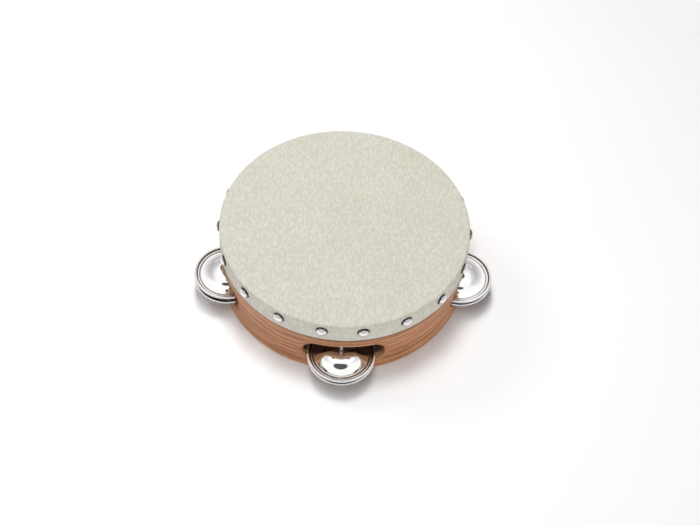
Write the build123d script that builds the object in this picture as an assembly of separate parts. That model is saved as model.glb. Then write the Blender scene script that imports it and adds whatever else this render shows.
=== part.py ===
from build123d import *

import math
import os

os.makedirs("parts", exist_ok=True)

# A tambourine: a bent wooden hoop with a tacked skin head and five pairs of jingles on pins.
# Millimetres. The origin is on the drum's axis, in the plane that the hoop stands on, with +Z
# towards the head and one pair of jingles on the -Y side.

# Hoop
HEAD_DIAMETER = 203.2
SKIN_THICKNESS = 0.8
HOOP_HEIGHT = 61.0
WALL = 6.4
HOOP_EDGE_RADIUS = 1.2
SLOT_EDGE_RADIUS = 0.5

# Head
SKIRT_DEPTH = 19.2
SKIRT_EDGE_RADIUS = 0.3

# Jingle slots, each a rounded-end cut
SLOT_BOTTOM = 11.0
SLOT_TOP = 33.0
SLOT_LENGTH = 64.5
SLOT_SHIFT = 1.1  # degrees round the hoop from each pin to the middle of its slot

# Pairs of jingles, spaced by hand: degrees from the front pair to its neighbours on the right and left
PAIRS = 5
RIGHT_GAP = 78.9
LEFT_GAP = 75.8

# Tacks
TACKS = 18
TACK_FRONT_GAP = 18.2  # degrees between the two tacks over the front pair of jingles
TACK_BELOW_TOP = 8.0
TACK_HEAD_DIAMETER = 9.0
TACK_HEAD_HEIGHT = 3.4
TACK_RIM = 0.4
TACK_SHANK_DIAMETER = 1.6
TACK_SHANK_LENGTH = 5.2
TACK_POINT = 1.8

# Jingle pins, nails driven up from the bottom edge
PIN_DIAMETER = 2.0
PIN_TOP = 44.0
PIN_POINT = 2.0
NAIL_HEAD_DIAMETER = 3.6
NAIL_HEAD_THICKNESS = 1.0
NAIL_HEAD_RECESS = 0.3

# Jingles, pressed from sheet with a rolled rim
JINGLE_DIAMETER = 54.0
JINGLE_SHEET = 0.6
JINGLE_HOLE_DIAMETER = 3.8
CROWN_RADIUS = 5.8
CROWN_HEIGHT = 4.6
DOME_RADIUS = 21.4
RIM_RADIUS = 1.25
RIM_LIFT = 0.4  # the rolled rim's centre stands this far above the middle of the sheet
SLOT_REST_GAP = 0.35

# How each pair rests on its pin, from the front one round to the left one
RIM_SPACINGS = [3.6, 4.3, 4.0, 5.0, 6.2]  # between the two rims' centres
LEANS = [2.0, 0.5, -1.5, 1.5, 0.5]  # degrees, positive with the outer edge low

skin_radius = HEAD_DIAMETER / 2
hoop_radius = skin_radius - SKIN_THICKNESS
inner_radius = hoop_radius - WALL
pin_circle = hoop_radius - WALL / 2
tack_height = HOOP_HEIGHT + SKIN_THICKNESS - TACK_BELOW_TOP
crown_above_rim = CROWN_HEIGHT + JINGLE_SHEET / 2 - RIM_LIFT
lower_crown_height = SLOT_BOTTOM + SLOT_REST_GAP


def pair_angles():
    """Directions of the pairs from the axis: the front one, then the rest anticlockwise to the left one."""
    front = -90.0
    rear_gap = (360 - RIGHT_GAP - LEFT_GAP) / (PAIRS - 2)
    return [front] + [front + RIGHT_GAP + rear_gap * k for k in range(PAIRS - 1)]


def tack_angles():
    """The tacks' directions, anticlockwise from the one to the right of the front."""
    spacing = (360 - TACK_FRONT_GAP) / (TACKS - 1)
    return [-90 + TACK_FRONT_GAP / 2 + spacing * k for k in range(TACKS)]


def around(angle, radius, height):
    """A place at this angle, with its X axis pointing outwards."""
    return Rot(0, 0, angle) * Pos(radius, 0, height)


def ring(inner, outer, bottom, top):
    """A plain ring's section, in the XZ plane."""
    return Pos((inner + outer) / 2, (bottom + top) / 2) * Rectangle(outer - inner, top - bottom)


def turned(section):
    return revolve(Plane.XZ * section, Axis.Z)


def tack_shank():
    """The part of a tack under its head, pointing along -X, with the head's seat at the origin."""
    reach = TACK_SHANK_LENGTH - TACK_POINT
    radius = TACK_SHANK_DIAMETER / 2
    shank = Cylinder(radius, reach, align=(Align.CENTER, Align.CENTER, Align.MIN))
    point = Pos(0, 0, reach) * Cone(radius, 0.1, TACK_POINT, align=(Align.CENTER, Align.CENTER, Align.MIN))
    return Rot(0, -90, 0) * (shank + point)


def tack():
    """A domed nail. The dome is a cap of a sphere on a short straight rim."""
    radius = TACK_HEAD_DIAMETER / 2
    crown = TACK_HEAD_HEIGHT - TACK_RIM
    ball_radius = (radius**2 + crown**2) / (2 * crown)
    rim = Cylinder(radius, TACK_RIM, align=(Align.CENTER, Align.CENTER, Align.MIN))
    block = Pos(0, 0, TACK_RIM) * Cylinder(radius, crown, align=(Align.CENTER, Align.CENTER, Align.MIN))
    cap = block & (Pos(0, 0, TACK_HEAD_HEIGHT - ball_radius) * Sphere(ball_radius))
    return Rot(0, 90, 0) * (rim + cap) + tack_shank()


def jingle_pin():
    """A nail standing on its head, in the recess under the hoop, with its point in the wood over the slot."""
    seat = NAIL_HEAD_RECESS + NAIL_HEAD_THICKNESS
    straight = PIN_TOP - PIN_POINT - seat
    upwards = (Align.CENTER, Align.CENTER, Align.MIN)
    head = Pos(0, 0, NAIL_HEAD_RECESS) * Cylinder(NAIL_HEAD_DIAMETER / 2, NAIL_HEAD_THICKNESS, align=upwards)
    shaft = Pos(0, 0, seat) * Cylinder(PIN_DIAMETER / 2, straight, align=upwards)
    point = Pos(0, 0, PIN_TOP - PIN_POINT) * Cone(PIN_DIAMETER / 2, 0.1, PIN_POINT, align=upwards)
    return head + shaft + point


def slot_cutter():
    """The slot's rounded outline, pushed outwards through the wall."""
    middle = (SLOT_BOTTOM + SLOT_TOP) / 2
    outline = SlotOverall(SLOT_LENGTH, SLOT_TOP - SLOT_BOTTOM)
    face = Plane(origin=(inner_radius - 12, 0, middle), x_dir=(0, 1, 0), z_dir=(1, 0, 0)) * outline
    return extrude(face, amount=WALL + 24)


def hoop(pins, shanks):
    section = ring(inner_radius, hoop_radius, 0, HOOP_HEIGHT)
    section = fillet(section.vertices(), HOOP_EDGE_RADIUS)
    wood = turned(section)
    for angle in pair_angles():
        wood -= Rot(0, 0, angle + SLOT_SHIFT) * slot_cutter()
    slot_edges = wood.edges().filter_by(lambda e: SLOT_BOTTOM - 0.1 < e.center().Z < SLOT_TOP + 0.1)
    wood = fillet(slot_edges, SLOT_EDGE_RADIUS)
    recess = Cylinder(NAIL_HEAD_DIAMETER / 2, NAIL_HEAD_RECESS, align=(Align.CENTER, Align.CENTER, Align.MIN))
    for angle in pair_angles():
        wood -= around(angle, pin_circle, 0) * recess
    for nail in pins + shanks:
        wood -= nail
    return wood


def head_skin(shanks):
    """The skin wraps the hoop's rounded top edge and hangs down its outside as a skirt."""
    bottom = HOOP_HEIGHT + SKIN_THICKNESS - SKIRT_DEPTH
    outside = ring(0, skin_radius, bottom, HOOP_HEIGHT + SKIN_THICKNESS)
    corner = outside.vertices().sort_by(Axis.X)[-2:].sort_by(Axis.Y)[-1]
    outside = fillet(corner, HOOP_EDGE_RADIUS + SKIN_THICKNESS)
    inside = ring(0, hoop_radius, bottom, HOOP_HEIGHT)
    corner = inside.vertices().sort_by(Axis.X)[-2:].sort_by(Axis.Y)[-1]
    inside = fillet(corner, HOOP_EDGE_RADIUS)
    section = outside - inside
    hem = [v for v in section.vertices() if v.Y < bottom + 0.01 and v.X > hoop_radius + 0.01]
    skin = turned(fillet(hem, SKIRT_EDGE_RADIUS))
    for shank in shanks:
        skin -= shank
    return skin


def jingle():
    """One disc with its dome upwards. The origin is at the hole, level with the top of the crown."""
    rim_centre = JINGLE_DIAMETER / 2 - RIM_RADIUS
    halfway = ((CROWN_RADIUS + DOME_RADIUS) / 2, -CROWN_HEIGHT / 2)
    crown = Line((JINGLE_HOLE_DIAMETER / 2, 0), (CROWN_RADIUS, 0))
    shoulder = TangentArc(crown @ 1, halfway, tangent=crown % 1)
    foot = TangentArc(shoulder @ 1, (DOME_RADIUS, -CROWN_HEIGHT), tangent=shoulder % 1)
    brim = Line(foot @ 1, (rim_centre, -CROWN_HEIGHT))
    upper_side = crown + shoulder + foot + brim
    lower_side = Pos(0, -JINGLE_SHEET) * upper_side
    ends = [Line(side, side + Vector(0, -JINGLE_SHEET)) for side in (crown @ 0, brim @ 1)]
    section = make_face(upper_side.edges() + lower_side.edges() + ends)
    section += Pos(rim_centre, -crown_above_rim) * Circle(RIM_RADIUS)
    return turned(section)


def write(solid, name):
    solid.label = name
    export_step(solid, f"parts/{name}.step")


tack_places = [around(angle, skin_radius, tack_height) for angle in tack_angles()]
pins = [around(angle, pin_circle, 0) * jingle_pin() for angle in pair_angles()]
shanks = [place * tack_shank() for place in tack_places]

write(hoop(pins, shanks), "hoop")
write(head_skin(shanks), "head_skin")
for number, place in enumerate(tack_places, start=1):
    write(place * tack(), f"tack_{number:02d}")
for number, pin in enumerate(pins, start=1):
    write(pin, f"jingle_pin_{number}")
rests = zip(pair_angles(), RIM_SPACINGS, LEANS)
for number, (angle, spacing, lean) in enumerate(rests, start=1):
    upper_crown_height = lower_crown_height + 2 * crown_above_rim + spacing
    upper = around(angle, pin_circle, upper_crown_height) * Rot(0, lean, 0) * jingle()
    lower = around(angle, pin_circle, lower_crown_height) * Rot(0, lean, 0) * Rot(180, 0, 0) * jingle()
    write(upper, f"upper_jingle_{number}")
    write(lower, f"lower_jingle_{number}")
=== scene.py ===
import math

import bpy
from mathutils import Matrix, Vector, noise


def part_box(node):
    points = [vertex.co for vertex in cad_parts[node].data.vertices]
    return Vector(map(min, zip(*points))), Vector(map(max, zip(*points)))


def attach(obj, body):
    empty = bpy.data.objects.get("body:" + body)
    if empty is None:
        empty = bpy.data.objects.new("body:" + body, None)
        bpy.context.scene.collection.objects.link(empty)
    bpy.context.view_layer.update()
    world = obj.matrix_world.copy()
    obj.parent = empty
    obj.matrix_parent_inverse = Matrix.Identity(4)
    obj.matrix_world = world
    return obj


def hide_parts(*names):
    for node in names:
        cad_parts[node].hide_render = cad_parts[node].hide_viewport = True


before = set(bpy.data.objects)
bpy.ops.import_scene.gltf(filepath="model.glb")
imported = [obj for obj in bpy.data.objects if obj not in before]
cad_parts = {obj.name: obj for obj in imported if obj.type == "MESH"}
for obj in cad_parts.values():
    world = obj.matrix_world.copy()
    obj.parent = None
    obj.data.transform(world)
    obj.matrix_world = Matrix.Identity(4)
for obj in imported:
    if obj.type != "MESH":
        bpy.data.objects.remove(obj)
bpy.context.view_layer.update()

MM = 0.001
TAU = 2 * math.pi

# ---------------------------------------------------------------- sizes, from the frame


def box_angle(name):
    """The direction of a node's middle from the axis."""
    low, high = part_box(name)
    return math.atan2(low[1] + high[1], low[0] + high[0])


head_low, head_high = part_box("head_skin")
HEAD_RADIUS = head_high[0]
HEAD_TOP = head_high[2]
HEM_HEIGHT = head_low[2]

hoop_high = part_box("hoop")[1]
HOOP_RADIUS = hoop_high[0]
HOOP_TOP = hoop_high[2]
HOOP_EDGE = 1.2 * MM
WALL = 6.4 * MM
SKIN = HEAD_RADIUS - HOOP_RADIUS
FOLD_RADIUS = HOOP_EDGE + SKIN

tack_names = sorted(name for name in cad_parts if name.startswith("tack_"))
tack_low, tack_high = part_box(tack_names[0])
TACK_RADIUS = (tack_high[2] - tack_low[2]) / 2
TACK_HEIGHT = (tack_high[2] + tack_low[2]) / 2
TACK_CROWN = 3.4 * MM
TACK_FRONT_GAP = math.radians(18.2)
tack_spacing = (TAU - TACK_FRONT_GAP) / (len(tack_names) - 1)
tack_angles = [(TACK_FRONT_GAP - math.pi) / 2 + tack_spacing * k for k in range(len(tack_names))]

# A slot through the hoop: half the length of its straight edges, the radius of its ends, the height of its
# middle, and how far round the hoop its middle is from its pin.
pin_names = sorted(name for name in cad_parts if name.startswith("jingle_pin_"))
SLOT_STRAIGHT = 21.25 * MM
SLOT_END = 11 * MM
SLOT_HEIGHT = 22 * MM
SLOT_SHIFT = math.radians(1.1)
slot_angles = [box_angle(name) + SLOT_SHIFT for name in pin_names]

# ---------------------------------------------------------------- shader helpers


def set_or_link(tree, socket, value):
    """Gives a socket a value, or links it from another socket."""
    if isinstance(value, bpy.types.NodeSocket):
        tree.links.new(value, socket)
    else:
        socket.default_value = value


def node(tree, kind, inputs=None, **settings):
    """A shader node. Each input is a value, or a socket to link from."""
    made = tree.nodes.new(kind)
    for name, value in settings.items():
        setattr(made, name, value)
    for name, value in (inputs or {}).items():
        set_or_link(tree, made.inputs[name], value)
    return made


def new_material(name):
    """An empty node material, its tree and its Principled shader."""
    material = bpy.data.materials.new(name)
    material.use_nodes = True
    tree = material.node_tree
    tree.nodes.clear()
    shader = node(tree, "ShaderNodeBsdfPrincipled")
    node(tree, "ShaderNodeOutputMaterial", {"Surface": shader.outputs[0]})
    return material, tree, shader


def object_place(tree):
    """Where a point of the surface is, in metres in the part's own frame."""
    return node(tree, "ShaderNodeTexCoord").outputs["Object"]


def axes(tree, vector):
    return node(tree, "ShaderNodeSeparateXYZ", {0: vector}).outputs


def combine(tree, x, y, z=0.0):
    return node(tree, "ShaderNodeCombineXYZ", {"X": x, "Y": y, "Z": z}).outputs[0]


def scaled(tree, vector, scale):
    return node(tree, "ShaderNodeMapping", {"Vector": vector, "Scale": scale}).outputs[0]


def length(tree, vector):
    return node(tree, "ShaderNodeVectorMath", {0: vector}, operation="LENGTH").outputs["Value"]


def calculate(tree, operation, *values):
    made = node(tree, "ShaderNodeMath", operation=operation)
    for socket, value in zip(made.inputs, values):
        set_or_link(tree, socket, value)
    return made.outputs[0]


def add(tree, first, second):
    return calculate(tree, "ADD", first, second)


def subtract(tree, first, second):
    return calculate(tree, "SUBTRACT", first, second)


def multiply(tree, first, second):
    return calculate(tree, "MULTIPLY", first, second)


def ramp(tree, factor, stops):
    """A colour ramp. Each stop is a place from 0 to 1 and a colour."""
    made = node(tree, "ShaderNodeValToRGB", {"Fac": factor})
    elements = made.color_ramp.elements
    while len(elements) < len(stops):
        elements.new(0.5)
    for element, (place, colour) in zip(elements, stops):
        element.position = place
        element.color = (*colour, 1)
    return made.outputs["Color"]


def grey_ramp(tree, factor, start, end):
    """0 up to start, 1 past end, and even between them. The end may be below the start."""
    return node(tree, "ShaderNodeMapRange", {"Value": factor, "From Min": start, "From Max": end}).outputs[0]


def spread(tree, factor, low, high):
    """Turns a value from 0 to 1 into one from low to high."""
    return node(tree, "ShaderNodeMapRange", {"Value": factor, "To Min": low, "To Max": high}).outputs[0]


def mix_colour(tree, factor, first, second, blend="MIX"):
    made = node(tree, "ShaderNodeMix", data_type="RGBA", blend_type=blend)
    factor_socket, first_socket, second_socket = made.inputs[0], made.inputs[6], made.inputs[7]
    set_or_link(tree, factor_socket, factor)
    for socket, colour in ((first_socket, first), (second_socket, second)):
        set_or_link(tree, socket, (*colour, 1) if isinstance(colour, tuple) else colour)
    return made.outputs[2]


def tint(tree, colour, by, factor=1.0):
    """Multiplies one colour by another."""
    return mix_colour(tree, factor, colour, by, "MULTIPLY")


def noise_texture(tree, vector, scale, detail=2.0, roughness=0.5, output="Fac"):
    inputs = {"Vector": vector, "Scale": scale, "Detail": detail, "Roughness": roughness}
    return node(tree, "ShaderNodeTexNoise", inputs).outputs[output]


def bump(tree, height, distance, strength):
    inputs = {"Height": height, "Distance": distance, "Strength": strength}
    return node(tree, "ShaderNodeBump", inputs).outputs[0]


# ---------------------------------------------------------------- mesh helpers


def make_piece(name, vertices, faces, material, painted_shade=None):
    """A smooth mesh. The painted shade is a number from 0 to 1 for each vertex, which the plated materials
    read.
    """
    mesh = bpy.data.meshes.new(name)
    mesh.from_pydata([tuple(v) for v in vertices], [], faces)
    if painted_shade:
        mesh.attributes.new("painted_shade", "FLOAT", "POINT").data.foreach_set("value", painted_shade)
    mesh.shade_smooth()
    mesh.materials.append(material)
    piece = bpy.data.objects.new(name, mesh)
    bpy.context.scene.collection.objects.link(piece)
    return piece


def lathe(profile, segments):
    """Turns (radius, height) points about Z. A point on the axis makes a single vertex, and the last
    point joins back to the first unless the first is on the axis. Returns vertices and faces."""
    on_axis = 1e-9
    vertices, rings = [], []
    for radius, height in profile:
        if radius < on_axis:
            rings.append([len(vertices)])
            vertices.append(Vector((0, 0, height)))
            continue
        rings.append(range(len(vertices), len(vertices) + segments))
        for k in range(segments):
            angle = TAU * k / segments
            vertices.append(Vector((radius * math.cos(angle), radius * math.sin(angle), height)))
    closed = profile[0][0] > on_axis
    pairs = list(zip(rings, rings[1:])) + ([(rings[-1], rings[0])] if closed else [])
    faces = []
    for first, second in pairs:
        for k in range(segments):
            after = (k + 1) % segments
            if len(first) == 1:
                faces.append((first[0], second[after], second[k]))
            elif len(second) == 1:
                faces.append((first[k], first[after], second[0]))
            else:
                faces.append((first[k], first[after], second[after], second[k]))
    return vertices, faces


def arc_points(centre, radius, start, end, count):
    """Points on an arc in a profile, from start to end in degrees, ends included."""
    points = []
    for k in range(count):
        angle = math.radians(start + (end - start) * k / (count - 1))
        points.append((centre[0] + radius * math.cos(angle), centre[1] + radius * math.sin(angle)))
    return points


# ---------------------------------------------------------------- materials


def skin_material():
    """Cream skin: a pebbled grain stretched one way, faint mottling and a dry surface. The skirt gets painted
    light that makes it a little paler than the face, and the flesh side, inside the drum, is brown and
    unfinished."""
    cream, deep_cream, flesh_brown = (0.630, 0.613, 0.545), (0.545, 0.527, 0.452), (0.62, 0.33, 0.24)
    skirt_painted_light = (1.13, 1.13, 1.14)
    sway = (2.2 * MM,) * 3
    material, tree, shader = new_material("cream_skin")
    place = object_place(tree)
    x, y, height = axes(tree, place)
    radius = length(tree, combine(tree, x, y))

    stretched = scaled(tree, place, (1.0, 0.46, 0.42))
    warp = noise_texture(tree, stretched, 260.0, output="Color")
    warp = node(tree, "ShaderNodeVectorMath", {0: warp, 1: sway}, operation="MULTIPLY").outputs[0]
    bent = node(tree, "ShaderNodeVectorMath", {0: stretched, 1: warp}, operation="ADD").outputs[0]
    cell_inputs = {"Vector": bent, "Scale": 540.0, "Smoothness": 0.6}
    cells = node(tree, "ShaderNodeTexVoronoi", cell_inputs, feature="SMOOTH_F1").outputs["Distance"]
    pebble = grey_ramp(tree, cells, 0.1, 0.72)
    crease = noise_texture(tree, bent, 420.0, detail=3.0, roughness=0.6)
    grain = add(tree, multiply(tree, pebble, 0.55), multiply(tree, crease, 0.45))

    blotches = noise_texture(tree, place, 26.0)
    mottled = ramp(tree, blotches, [(0.3, (0.97, 0.965, 0.95)), (0.7, (1.0, 1.0, 1.0))])
    colour = tint(tree, ramp(tree, grain, [(0.30, cream), (0.70, deep_cream)]), mottled)
    # painted light: the skirt is painted paler than the face, standing in for light on its sides
    skirt = grey_ramp(tree, height, HEAD_TOP - 0.6 * FOLD_RADIUS, HEAD_TOP - 1.4 * FOLD_RADIUS)
    colour = mix_colour(tree, skirt, colour, tint(tree, colour, skirt_painted_light))
    within = grey_ramp(tree, radius, HOOP_RADIUS - 4 * MM, HOOP_RADIUS - 5 * MM)
    below = grey_ramp(tree, height, HOOP_TOP + 0.3 * MM, HOOP_TOP + 0.2 * MM)
    flesh = tint(tree, flesh_brown, mottled)
    colour = mix_colour(tree, multiply(tree, within, below), colour, flesh)
    tree.links.new(colour, shader.inputs["Base Color"])
    tree.links.new(bump(tree, subtract(tree, 1.0, grain), 0.26 * MM, 0.55), shader.inputs["Normal"])
    shader.inputs["Roughness"].default_value = 0.78
    shader.inputs["Specular IOR Level"].default_value = 0.3
    return material


def slot_distance(tree, angle, height):
    """How far outside the nearest slot's outline a point on the hoop is, and a number that goes from 0 to 1
    past the end of the slot's straight edges. The angle is counted from the front."""
    nearest = None
    for place in slot_angles:
        turn = subtract(tree, angle, place + math.pi / 2)
        turn = calculate(tree, "ABSOLUTE", calculate(tree, "WRAP", turn, math.pi, -math.pi))
        nearest = turn if nearest is None else calculate(tree, "MINIMUM", nearest, turn)
    across = multiply(tree, calculate(tree, "SINE", nearest), HOOP_RADIUS)
    past = calculate(tree, "MAXIMUM", subtract(tree, across, SLOT_STRAIGHT), 0.0)
    rise = subtract(tree, height, SLOT_HEIGHT)
    squares = [multiply(tree, value, value) for value in (past, rise)]
    distance = subtract(tree, calculate(tree, "SQRT", add(tree, *squares)), SLOT_END)
    return distance, grey_ramp(tree, past, 0.0, 3 * MM)


def wood_grain(tree, along, height, radius, slot, past_straight):
    """Streaks along the bent strip that sway and curl round the ends of the slots: broad rings, fibres and
    pores, each from 0 to 1."""
    sway = noise_texture(tree, combine(tree, along, height, radius), 14.0, detail=1.0)
    lift = multiply(tree, subtract(tree, sway, 0.5), 9 * MM)
    curl = multiply(tree, grey_ramp(tree, slot, 4.5 * MM, 0.5 * MM), past_straight)
    turned = subtract(tree, add(tree, slot, SLOT_HEIGHT), height)
    swayed_height = calculate(tree, "MULTIPLY_ADD", curl, turned, add(tree, height, lift))
    strip = combine(tree, along, swayed_height, radius)
    rings = noise_texture(tree, scaled(tree, strip, (6.0, 380.0, 90.0)), 1.0, detail=3.0, roughness=0.6)
    fibres = noise_texture(tree, scaled(tree, strip, (34.0, 1400.0, 300.0)), 1.0, detail=3.0, roughness=0.65)
    pores = noise_texture(tree, scaled(tree, strip, (150.0, 2200.0, 700.0)), 1.0)
    return rings, fibres, pores


def wood_material():
    """Bent hardwood: streaks along the strip, short dark pores, a satin lacquer and pale raw wood where it is
    cut, with a painted highlight along the bottom edge and the straight edges of each slot, and a painted
    shadow line along the hem."""
    bottom_edge_highlight, raw_wood_and_highlight, hem_shadow_colour = (0.72, 0.36, 0.17), (0.90, 0.56, 0.32), (0.07, 0.035, 0.025)
    white = (1.0, 1.0, 1.0)
    inner_radius = HOOP_RADIUS - WALL
    material, tree, shader = new_material("bent_hardwood")
    place = object_place(tree)
    x, y, height = axes(tree, place)
    radius = length(tree, combine(tree, x, y))
    # the angle is counted from the front, so that it jumps at the back, where the strip's ends meet
    angle = calculate(tree, "ARCTAN2", x, multiply(tree, y, -1.0))
    along = multiply(tree, angle, HOOP_RADIUS)
    slot, past_straight = slot_distance(tree, angle, height)
    rings, fibres, pores = wood_grain(tree, along, height, radius, slot, past_straight)
    patches = noise_texture(tree, place, 18.0, detail=1.0)

    colour = ramp(tree, rings, [
        (0.30, (0.26, 0.085, 0.031)), (0.42, (0.47, 0.190, 0.077)),
        (0.56, (0.63, 0.295, 0.123)), (0.72, (0.82, 0.440, 0.203)),
    ])
    colour = tint(tree, colour, ramp(tree, fibres, [(0.38, (0.62, 0.51, 0.46)), (0.56, white)]))
    colour = tint(tree, colour, ramp(tree, pores, [(0.30, (0.55, 0.45, 0.40)), (0.40, white)]), 0.8)
    colour = tint(tree, colour, ramp(tree, patches, [(0.3, (0.90, 0.88, 0.87)), (0.7, white)]))
    # painted highlight: the bottom few millimetres of the hoop are painted a lighter orange, where its
    # rounded edge catches the light
    edge = grey_ramp(tree, height, 2.6 * MM, 0.6 * MM)
    colour = mix_colour(tree, multiply(tree, edge, 0.65), colour, bottom_edge_highlight)
    # the walls of the jingle slots are raw, paler wood, and the straight edges of each slot get a painted
    # highlight in the same pale colour
    outside = grey_ramp(tree, radius, HOOP_RADIUS - 0.3 * MM, HOOP_RADIUS - 0.8 * MM)
    inside = grey_ramp(tree, radius, inner_radius + 0.2 * MM, inner_radius + 0.7 * MM)
    within = multiply(tree, outside, inside)
    cut = multiply(tree, within, grey_ramp(tree, slot, 1.2 * MM, 0.8 * MM))
    # painted highlight along the straight edges of each slot
    slot_lip_highlight = grey_ramp(tree, calculate(tree, "ABSOLUTE", slot), 1.7 * MM, 0.6 * MM)
    slot_lip_highlight = multiply(tree, slot_lip_highlight, subtract(tree, 1.0, past_straight))
    pale = multiply(tree, calculate(tree, "MAXIMUM", cut, slot_lip_highlight), 0.75)
    colour = mix_colour(tree, pale, colour, raw_wood_and_highlight)
    # a painted shadow line on the outside of the hoop just below the hem of the skin
    hem_shadow = grey_ramp(tree, height, HEM_HEIGHT - 2.5 * MM, HEM_HEIGHT - 1.5 * MM)
    hem_shadow = multiply(tree, hem_shadow, grey_ramp(tree, radius, HOOP_RADIUS - 1.0 * MM, HOOP_RADIUS - 0.5 * MM))
    colour = mix_colour(tree, multiply(tree, hem_shadow, 0.85), colour, hem_shadow_colour)
    tree.links.new(colour, shader.inputs["Base Color"])
    tree.links.new(spread(tree, fibres, 0.52, 0.36), shader.inputs["Roughness"])
    grooves = add(tree, multiply(tree, fibres, 0.6), multiply(tree, pores, 0.4))
    tree.links.new(bump(tree, grooves, 0.12 * MM, 0.5), shader.inputs["Normal"])
    shader.inputs["Specular IOR Level"].default_value = 0.4
    shader.inputs["Coat Weight"].default_value = 0.06
    shader.inputs["Coat Roughness"].default_value = 0.25
    return material


def plated_material(name, colour, wear, haze):
    """Bright plate, with a slight haze and wipe marks in its gloss, faint pressing marks, and painted shade,
    near black, where the mesh says so."""
    painted_shade_colour = (0.03, 0.02, 0.017)
    worn = tuple(c * wear for c in colour)
    material, tree, shader = new_material(name)
    place = object_place(tree)
    cloud = noise_texture(tree, place, 90.0, detail=3.0)
    specks = noise_texture(tree, place, 900.0)
    tone = ramp(tree, cloud, [(0.3, worn), (0.7, colour)])
    painted_shade = node(tree, "ShaderNodeAttribute", attribute_name="painted_shade").outputs["Fac"]
    # painted shade: the mesh's per-vertex painted shade mixes the plate towards near black
    tree.links.new(mix_colour(tree, painted_shade, tone, painted_shade_colour), shader.inputs["Base Color"])
    tree.links.new(spread(tree, cloud, haze, haze * 2.2), shader.inputs["Roughness"])
    tree.links.new(bump(tree, specks, 0.01 * MM, 0.3), shader.inputs["Normal"])
    shader.inputs["Metallic"].default_value = 1.0
    return material


def steel_material():
    """Drawn wire: fine lines across it."""
    dull, bright = (0.66, 0.66, 0.67), (0.86, 0.86, 0.87)
    material, tree, shader = new_material("drawn_steel")
    lines = noise_texture(tree, scaled(tree, object_place(tree), (400.0, 400.0, 4000.0)), 1.0)
    tree.links.new(ramp(tree, lines, [(0.3, dull), (0.7, bright)]), shader.inputs["Base Color"])
    tree.links.new(spread(tree, lines, 0.2, 0.38), shader.inputs["Roughness"])
    tree.links.new(bump(tree, lines, 0.02 * MM, 0.4), shader.inputs["Normal"])
    shader.inputs["Metallic"].default_value = 1.0
    return material


SKIN_LOOK = skin_material()
WOOD_LOOK = wood_material()
JINGLE_LOOK = plated_material("jingle_plate", (0.90, 0.885, 0.875), 0.94, 0.035)
TACK_LOOK = plated_material("tack_plate", (0.88, 0.855, 0.84), 0.92, 0.05)
STEEL_LOOK = steel_material()

# ---------------------------------------------------------------- head

HEAD_SEGMENTS = 360
HEM_RADIUS = 0.3 * MM


def head_profile():
    """The skin's closed section: flat top, fold, skirt, hem and back along the inside."""
    top_rings, skirt_rings, inside_rings = 26, 28, 8
    flat_radius = HEAD_RADIUS - FOLD_RADIUS
    fold_centre = (flat_radius, HEAD_TOP - FOLD_RADIUS)
    top = [(flat_radius * math.sqrt(k / top_rings), HEAD_TOP) for k in range(top_rings)]
    fold = arc_points(fold_centre, FOLD_RADIUS, 90, 0, 9)
    skirt_top, skirt_end = HEAD_TOP - FOLD_RADIUS, HEM_HEIGHT + HEM_RADIUS
    fall = (skirt_end - skirt_top) / skirt_rings
    skirt = [(HEAD_RADIUS, skirt_top + fall * k) for k in range(1, skirt_rings)]
    hem = arc_points((HEAD_RADIUS - HEM_RADIUS, skirt_end), HEM_RADIUS, 0, -90, 4)
    hem += [(HOOP_RADIUS, HEM_HEIGHT)]
    climb = (skirt_top - HEM_HEIGHT) / inside_rings
    inside = [(HOOP_RADIUS, HEM_HEIGHT + climb * k) for k in range(1, inside_rings)]
    inner_fold = arc_points(fold_centre, HOOP_EDGE, 0, 90, 5)
    under = [(flat_radius * math.sqrt(1 - k / inside_rings), HOOP_TOP) for k in range(1, inside_rings + 1)]
    return top + fold + skirt + hem + inside + inner_fold + under


def sag_top(v, radius):
    """The drumming face is a little lower away from the edge, unevenly."""
    sag, edge_reach, waves = 0.06 * MM, 30 * MM, 22
    v.z += sag * (noise.noise(v * waves) - 1) * min(1, (HEAD_RADIUS - radius) / edge_reach)


def pull_skirt(v, angle, outward):
    """How far outwards the skirt stands at a point: ripples, and a dimple with a collar at each tack."""
    ripple = noise.noise(Vector((outward.x * 9, outward.y * 9, v.z * 12)))
    fine = noise.noise(Vector((outward.x * 26, outward.y * 26, v.z * 25 + 7)))
    drop = max(0.0, min(1.0, (HEAD_TOP - v.z) / (HEAD_TOP - HEM_HEIGHT)))
    across = min(abs(math.remainder(angle - place, TAU)) for place in tack_angles) * HEAD_RADIUS
    distance = math.hypot(across, v.z - TACK_HEIGHT)
    dimple = math.exp(-((distance / (TACK_RADIUS * 0.9)) ** 2))
    collar = math.exp(-(((distance - TACK_RADIUS * 1.35) / (TACK_RADIUS * 0.35)) ** 2))
    return ((0.16 * ripple + 0.08 * fine) * drop - 0.10 - 0.12 * dimple + 0.04 * collar) * MM


def shape_head(vertices):
    """Gives the plain turned skin its pull marks and an uneven hem."""
    edge_band, fold_line, hem_band, hem_wobble = 12 * MM, 0.2 * MM, 3 * MM, 0.35 * MM
    for v in vertices:
        radius = math.hypot(v.x, v.y)
        if radius < HEAD_RADIUS - FOLD_RADIUS - edge_band:
            if v.z > HOOP_TOP + SKIN / 2:
                sag_top(v, radius)
            continue
        angle = math.atan2(v.y, v.x)
        outward = Vector((math.cos(angle), math.sin(angle), 0))
        outer = radius > HOOP_RADIUS + SKIN / 2 or v.z > HOOP_TOP + SKIN / 2
        if outer and v.z < HEAD_TOP - fold_line:
            v += outward * pull_skirt(v, angle, outward)
        if v.z < HEM_HEIGHT + hem_band:
            near = 1 - (v.z - HEM_HEIGHT) / hem_band
            v.z += hem_wobble * near * (noise.noise(Vector((outward.x * 5, outward.y * 5, 3.1))) + 0.4)


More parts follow.
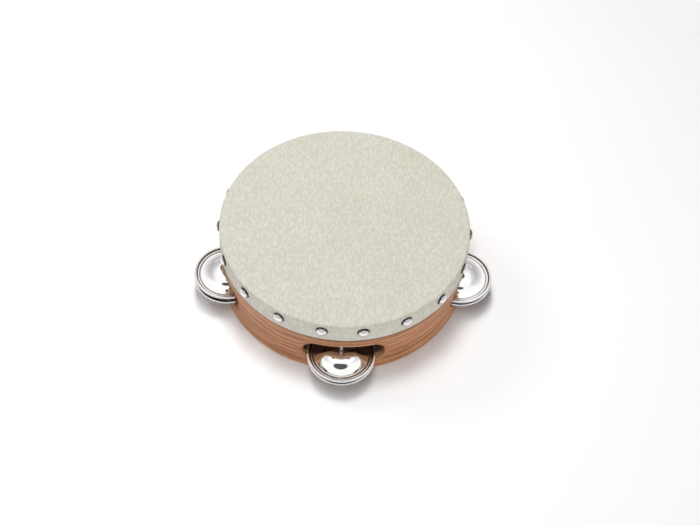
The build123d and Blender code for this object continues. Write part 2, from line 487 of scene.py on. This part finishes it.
def make_head():
    vertices, faces = lathe(head_profile(), HEAD_SEGMENTS)
    shape_head(vertices)
    head = make_piece("skin_head", vertices, faces, SKIN_LOOK)
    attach(head, "drum")
    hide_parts("head_skin")


# ---------------------------------------------------------------- metal pieces

JINGLE_SEGMENTS = 128
SHEET = 0.6 * MM
CROWN_RADIUS = 5.8 * MM
CROWN_HEIGHT = 4.6 * MM
DOME_RADIUS = 21.4 * MM
HOLE_RADIUS = 1.9 * MM
RIM_RADIUS = 1.25 * MM
RIM_LIFT = 0.4 * MM
CROWN_ABOVE_RIM = CROWN_HEIGHT + SHEET / 2 - RIM_LIFT
# how far in from a jingle's edge its fine line and the groove beside its rolled rim are
FINE_LINE = 4.9 * MM
GROOVE = 2.7 * MM
# how far each pair leans on its pin, in degrees with the outer edge low, from the front one anticlockwise
LEANS = [2.0, 0.5, -1.5, 1.5, 0.5]

TACK_SEGMENTS = 40
TACK_RIM = 0.35 * MM
TACK_SHADOW_RING = 0.4 * MM
TACK_SINK = 0.04 * MM
TACK_SHANK_RADIUS = 0.8 * MM
TACK_SHANK_LENGTH = 5.2 * MM
TACK_POINT = 1.8 * MM

PIN_SEGMENTS = 28
PIN_RADIUS = 1.0 * MM
PIN_POINT = 2.0 * MM
NAIL_HEAD_THICKNESS = 1.0 * MM
NAIL_HEAD_EASE = 0.2 * MM


def jingle_profile(radius):
    """The section of a jingle with its dome upwards. Height 0 is the top of its crown."""
    sheet_top = -CROWN_HEIGHT
    run = DOME_RADIUS - CROWN_RADIUS
    bend = (run**2 + CROWN_HEIGHT**2) / (4 * CROWN_HEIGHT)
    steepest = math.degrees(math.asin(run / 2 / bend))
    punched = 0.2 * MM
    top = arc_points((HOLE_RADIUS + punched, -punched), punched, 180, 90, 4)
    top += [(HOLE_RADIUS + (CROWN_RADIUS - HOLE_RADIUS) * k / 5, 0.0) for k in (2, 3, 4)]
    top += arc_points((CROWN_RADIUS, -bend), bend, 90, 90 - steepest, 14)
    top += arc_points((DOME_RADIUS, sheet_top + bend), bend, 270 - steepest, 270, 14)[1:]
    bottom = [(r, z - SHEET) for r, z in top[3:]]
    bottom[0] = (HOLE_RADIUS + 0.05 * MM, -SHEET)
    # the brim climbs gently from the fine line to the groove: millimetres in from the edge, and up
    ring = [(5.15, 0.0), (4.9, -0.16), (4.65, -0.02), (3.9, 0.16), (3.25, 0.36), (3.0, 0.30), (2.75, -0.12)]
    brim = [(radius - inset * MM, sheet_top + lift * MM) for inset, lift in ring]
    curl = arc_points((radius - RIM_RADIUS, -CROWN_ABOVE_RIM), RIM_RADIUS, 187, -143, 30)
    under = [(radius - inset * MM, sheet_top - SHEET) for inset in (2.9, 4.2)]
    return top + brim + curl + under + bottom[::-1]


def jingle_painted_shade(inset, lift):
    """Painted shade in the groove beside the rolled rim, in the fine line and under the rolled rim. Inset is
    measured in from the edge and lift upwards from the middle of the rim."""
    rim_width, under_top = 2.6 * MM, 0.6 * MM
    groove = max(0.0, 1 - abs(inset - GROOVE) / (0.32 * MM))
    line = max(0.0, 1 - abs(inset - FINE_LINE) / (0.25 * MM))
    under = max(0.0, min(1.0, 1 - lift / under_top)) if inset < rim_width else 0.0
    return max(groove, line, under)


def make_jingle(node_name, pin_name, lean, dome_up, seed):
    low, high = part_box(node_name)
    pin_low, pin_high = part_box(pin_name)
    x, y = (pin_low[0] + pin_high[0]) / 2, (pin_low[1] + pin_high[1]) / 2
    radius = max(high[0] - low[0], high[1] - low[1]) / 2
    tilt = math.radians(lean)
    reach = RIM_RADIUS + (radius - RIM_RADIUS) * math.sin(abs(tilt)) + CROWN_ABOVE_RIM * math.cos(tilt)
    crown = low[2] + reach if dome_up else high[2] - reach
    vertices, faces = lathe(jingle_profile(radius), JINGLE_SEGMENTS)
    way = 1 if dome_up else -1
    # painted shade for each vertex: the groove, the fine line and the underside of the rolled rim
    painted_shade = [jingle_painted_shade(radius - math.hypot(v.x, v.y), way * (v.z + CROWN_ABOVE_RIM)) for v in vertices]
    for v in vertices:
        # a pressed disc is never quite true
        far = math.hypot(v.x, v.y) / radius
        v.z += 0.10 * MM * far * noise.noise(Vector((v.x * 40, v.y * 40, seed)))
        v.z += 0.05 * MM * noise.noise(Vector((v.x * 140, v.y * 140, seed + 5)))
    place = Matrix.Translation((x, y, crown)) @ Matrix.Rotation(math.atan2(y, x), 4, "Z")
    place = place @ Matrix.Rotation(tilt, 4, "Y") @ Matrix.Rotation(seed * 1.3, 4, "Z")
    if not dome_up:
        place = place @ Matrix.Rotation(math.pi, 4, "X")
    piece = make_piece(f"{node_name}_pressed", [place @ v for v in vertices], faces, JINGLE_LOOK, painted_shade)
    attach(piece, node_name)
    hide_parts(node_name)


def tack_profile():
    """The section of a tack along its own axis: a domed head with a rounded rim, and a pointed shank."""
    crown = TACK_CROWN - TACK_RIM
    ball = (TACK_RADIUS**2 + crown**2) / (2 * crown)
    half_arc = math.degrees(math.asin(TACK_RADIUS / ball))
    dome = arc_points((0, TACK_CROWN - ball), ball, 90, 90 - half_arc * 0.97, 12)
    dome[0] = (0, TACK_CROWN)
    # a thin dark collar on the skin round the head: a painted contact shadow, which the painted shade turns
    # near black
    collar = TACK_RADIUS + TACK_SHADOW_RING
    edge = [(TACK_RADIUS, TACK_RIM * 0.75), (TACK_RADIUS, TACK_RIM * 0.4)]
    edge += [(collar, TACK_RIM * 0.3), (collar, 0.0), (TACK_RADIUS * 0.6, 0.0)]
    shank = [(TACK_SHANK_RADIUS, 0.0), (TACK_SHANK_RADIUS, TACK_POINT - TACK_SHANK_LENGTH)]
    return dome + edge + shank + [(0.0, -TACK_SHANK_LENGTH)]


def tack_painted_shade(v):
    """Painted shade round a tack's edge, and more of it on the side that faces down, which is local +X."""
    edge = 1.3 - (TACK_RADIUS - math.hypot(v.x, v.y)) / (0.65 * MM)
    below = (v.x / TACK_RADIUS - 0.30) / 0.3
    return max(0.0, min(1.0, max(edge, below)))


def make_tack(node_name, angle, seed):
    """A tack driven by hand, so it leans a little."""
    most_lean = 0.03
    vertices, faces = lathe(tack_profile(), TACK_SEGMENTS)
    lean = Matrix.Rotation(most_lean * math.sin(seed * 2.4), 4, "X")
    lean = lean @ Matrix.Rotation(most_lean * math.cos(seed * 1.7), 4, "Y")
    seat = Matrix.Translation((HEAD_RADIUS - TACK_SINK, 0, TACK_HEIGHT))
    place = Matrix.Rotation(angle, 4, "Z") @ seat @ Matrix.Rotation(math.pi / 2, 4, "Y") @ lean
    # painted shade for each vertex: round the edge and on the side facing down
    painted_shade = [tack_painted_shade(v) for v in vertices]
    piece = make_piece(f"{node_name}_plated", [place @ v for v in vertices], faces, TACK_LOOK, painted_shade)
    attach(piece, "drum")
    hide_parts(node_name)


def make_pin(node_name):
    low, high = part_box(node_name)
    x, y = (low[0] + high[0]) / 2, (low[1] + high[1]) / 2
    head, ease = (high[0] - low[0]) / 2, NAIL_HEAD_EASE
    base, seat = low[2], low[2] + NAIL_HEAD_THICKNESS
    shaft_rings = 6
    rise = (high[2] - PIN_POINT - seat) / shaft_rings
    profile = [(0, base), (head * 0.5, base), (head - ease, base), (head, base + ease)]
    profile += [(head, seat - ease), (head - ease, seat), (PIN_RADIUS, seat)]
    profile += [(PIN_RADIUS, seat + rise * k) for k in range(1, shaft_rings + 1)]
    profile += [(0, high[2])]
    vertices, faces = lathe(profile, PIN_SEGMENTS)
    vertices = [v + Vector((x, y, 0)) for v in vertices]
    piece = make_piece(f"{node_name}_nail", vertices, faces, STEEL_LOOK)
    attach(piece, "drum")
    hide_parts(node_name)


make_head()
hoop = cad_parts["hoop"]
hoop.data.materials.clear()
hoop.data.materials.append(WOOD_LOOK)
for seed, (name, angle) in enumerate(zip(tack_names, tack_angles)):
    make_tack(name, angle, seed)
for seed, (pin_name, lean) in enumerate(zip(pin_names, LEANS), start=1):
    make_pin(pin_name)
    make_jingle(f"upper_jingle_{seed}", pin_name, lean, True, seed)
    make_jingle(f"lower_jingle_{seed}", pin_name, lean, False, seed + 10)

# ---------------------------------------------------------------- stage, light and camera


def from_angles(turn, elevation, distance):
    """A place seen from the origin at this compass angle and elevation, in degrees."""
    turn, elevation = math.radians(turn), math.radians(elevation)
    level = distance * math.cos(elevation)
    return (level * math.cos(turn), level * math.sin(turn), distance * math.sin(elevation))


# name, place, width, depth and watts
LIGHTS = [
    ("overhead_core", (-0.06, 0.22, 1.3), 0.4, 0.35, 5.8),
    ("overhead_softbox", (-0.08, 0.0, 1.3), 1.8, 0.35, 10.8),
    ("left_fill", from_angles(-145, 14, 1.5), 0.6, 0.6, 1.8),
    ("front_fill", from_angles(-90, 14, 1.5), 0.8, 0.6, 3.1),
    ("right_fill", from_angles(-30, 10, 1.5), 0.6, 0.6, 3.8),
    ("rear_left_fill", from_angles(145, 40, 1.5), 0.6, 0.6, 5.0),
]
LIGHT_TARGET = Vector((0, 0, 0.03))

CAMERA_TURN = math.radians(-91.6)
CAMERA_ELEVATION = math.radians(52.43)
CAMERA_DISTANCE = 1.1137
CAMERA_ROLL = math.radians(3.21)
CAMERA_LENS = 69.07
CAMERA_TARGET = Vector((0, 0, 25 * MM))
AIM_RIGHT = 5.4 * MM
AIM_DOWN = 9.6 * MM


def make_floor():
    """A pale floor. Far from the drum it glows, so that it stays as pale as it is under the lights."""
    side = 6.0
    mesh = bpy.data.meshes.new("floor")
    corners = [(-side, -side, 0), (side, -side, 0), (side, side, 0), (-side, side, 0)]
    mesh.from_pydata(corners, [], [(0, 1, 2, 3)])
    material, tree, shader = new_material("floor_paint")
    shader.inputs["Base Color"].default_value = (0.93, 0.93, 0.93, 1)
    shader.inputs["Roughness"].default_value = 0.9
    shader.inputs["Specular IOR Level"].default_value = 0.1
    reach = length(tree, object_place(tree))
    seen = node(tree, "ShaderNodeLightPath").outputs["Is Camera Ray"]
    backdrop = multiply(tree, multiply(tree, grey_ramp(tree, reach, 0.45, 1.3), 0.6), seen)
    glow = calculate(tree, "MULTIPLY_ADD", grey_ramp(tree, reach, 0.8, 2.0), 0.8, backdrop)
    tree.links.new(glow, shader.inputs["Emission Strength"])
    shader.inputs["Emission Color"].default_value = (1, 1, 1, 1)
    mesh.materials.append(material)
    floor = bpy.data.objects.new("floor", mesh)
    bpy.context.scene.collection.objects.link(floor)


def make_world():
    """A white studio: brightest overhead, plain white where the camera sees it, with the dark opening that
    the photographer works through. It lights little by itself, and is there to be reflected."""
    dark_opening, dim_fill, white = (0.10, 0.10, 0.11), (0.10, 0.10, 0.105), (1.0, 1.0, 1.0)
    opening_width, opening_depth, opening_forward, opening_above = 0.42, 0.13, 0.46, 0.2
    world = bpy.data.worlds.new("studio")
    bpy.context.scene.world = world
    world.use_nodes = True
    tree = world.node_tree
    tree.nodes.clear()
    x, y, height = axes(tree, node(tree, "ShaderNodeTexCoord").outputs["Generated"])
    room = ramp(tree, height, [
        (0.0, (0.50, 0.49, 0.49)), (0.35, (0.60, 0.59, 0.60)),
        (0.62, (0.80, 0.79, 0.82)), (0.80, (1.15, 1.15, 1.15)),
    ])
    across = calculate(tree, "DIVIDE", x, opening_width)
    along = calculate(tree, "DIVIDE", add(tree, y, opening_forward), opening_depth)
    squares = [calculate(tree, "POWER", value, 2.0) for value in (across, along)]
    reach = calculate(tree, "SQRT", add(tree, *squares))
    upper = calculate(tree, "GREATER_THAN", height, opening_above)
    opening = multiply(tree, grey_ramp(tree, reach, 1.15, 0.85), upper)
    room = mix_colour(tree, opening, room, dark_opening)
    rays = node(tree, "ShaderNodeLightPath").outputs
    reflected = mix_colour(tree, rays["Is Glossy Ray"], dim_fill, room)
    colour = mix_colour(tree, rays["Is Camera Ray"], reflected, white)
    light = node(tree, "ShaderNodeBackground", {"Color": colour, "Strength": 1.0}).outputs[0]
    node(tree, "ShaderNodeOutputWorld", {"Surface": light})


def make_light(name, place, width, depth, watts):
    data = bpy.data.lights.new(name, "AREA")
    data.shape = "ELLIPSE"
    data.size, data.size_y = width, depth
    data.energy = watts
    light = bpy.data.objects.new(name, data)
    light.location = place
    light.rotation_euler = (LIGHT_TARGET - Vector(place)).to_track_quat("-Z", "Y").to_euler()
    light.visible_glossy = False
    bpy.context.scene.collection.objects.link(light)


def make_camera():
    """The camera stands on a line through its target, and aims a little to the right of it and below it."""
    level = Vector((math.cos(CAMERA_TURN), math.sin(CAMERA_TURN), 0))
    back = level * math.cos(CAMERA_ELEVATION) + Vector((0, 0, math.sin(CAMERA_ELEVATION)))
    side = Vector((0, 0, 1)).cross(back).normalized()
    up = back.cross(side)
    right = side * math.cos(CAMERA_ROLL) + up * math.sin(CAMERA_ROLL)
    up = back.cross(right)
    place = CAMERA_TARGET + back * CAMERA_DISTANCE
    aim = CAMERA_TARGET + right * AIM_RIGHT - up * AIM_DOWN
    back = (place - aim).normalized()
    right = up.cross(back).normalized()
    up = back.cross(right)
    data = bpy.data.cameras.new("camera")
    data.lens = CAMERA_LENS
    data.clip_start, data.clip_end = 0.01, 50
    camera = bpy.data.objects.new("camera", data)
    camera.matrix_world = Matrix((
        (right.x, up.x, back.x, place.x),
        (right.y, up.y, back.y, place.y),
        (right.z, up.z, back.z, place.z),
        (0, 0, 0, 1),
    ))
    bpy.context.scene.collection.objects.link(camera)
    bpy.context.scene.camera = camera


make_floor()
make_world()
for name, place, width, depth, watts in LIGHTS:
    make_light(name, place, width, depth, watts)
make_camera()
bpy.context.scene.view_settings.view_transform = "Standard"
